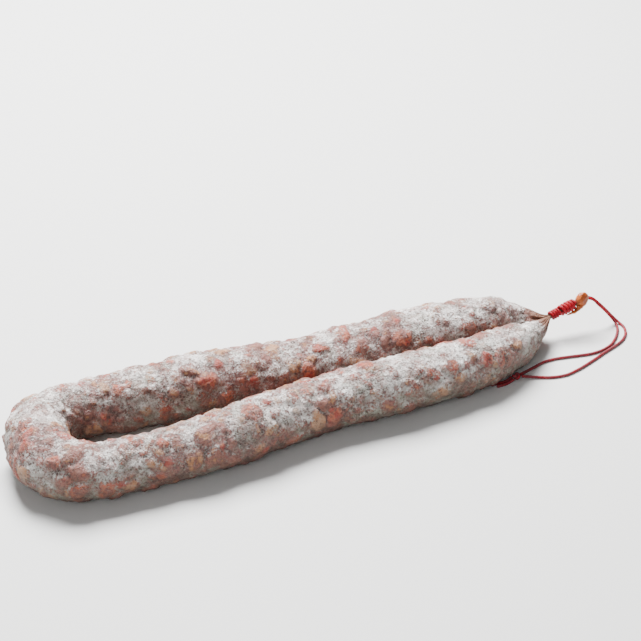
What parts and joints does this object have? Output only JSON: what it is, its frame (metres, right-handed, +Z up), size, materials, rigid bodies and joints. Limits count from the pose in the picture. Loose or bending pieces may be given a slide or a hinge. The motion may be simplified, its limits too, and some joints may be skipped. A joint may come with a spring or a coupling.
{
  "type": "cured sausage",
  "caption": "Dry-cured sausage folded in two, with a patchy white mould bloom, its gathered ends bound with red twine that ends in a loose doubled loop.",
  "frame": {"origin": "middle of the sausage's footprint, on the surface that it rests on", "axes": "+X from the fold towards the bound ends, +Y from the leg that has the twine loop beside it towards the other leg, +Z up"},
  "size_m": [0.3882, 0.094, 0.0381],
  "materials": {
    "cured_meat": "matte casing over coarse red and pale meat with a patchy powdery white mould",
    "twine": "twisted red food twine with a slight sheen"
  },
  "bodies": {
    "root": {"sausage": "cured_meat", "binding_coil": "twine", "binding_hitch": "twine", "twine_strand_a": "twine", "twine_strand_b": "twine", "loop_knot": "twine", "twine_tail_a": "twine", "twine_tail_b": "twine"}
  },
  "joints": []
}
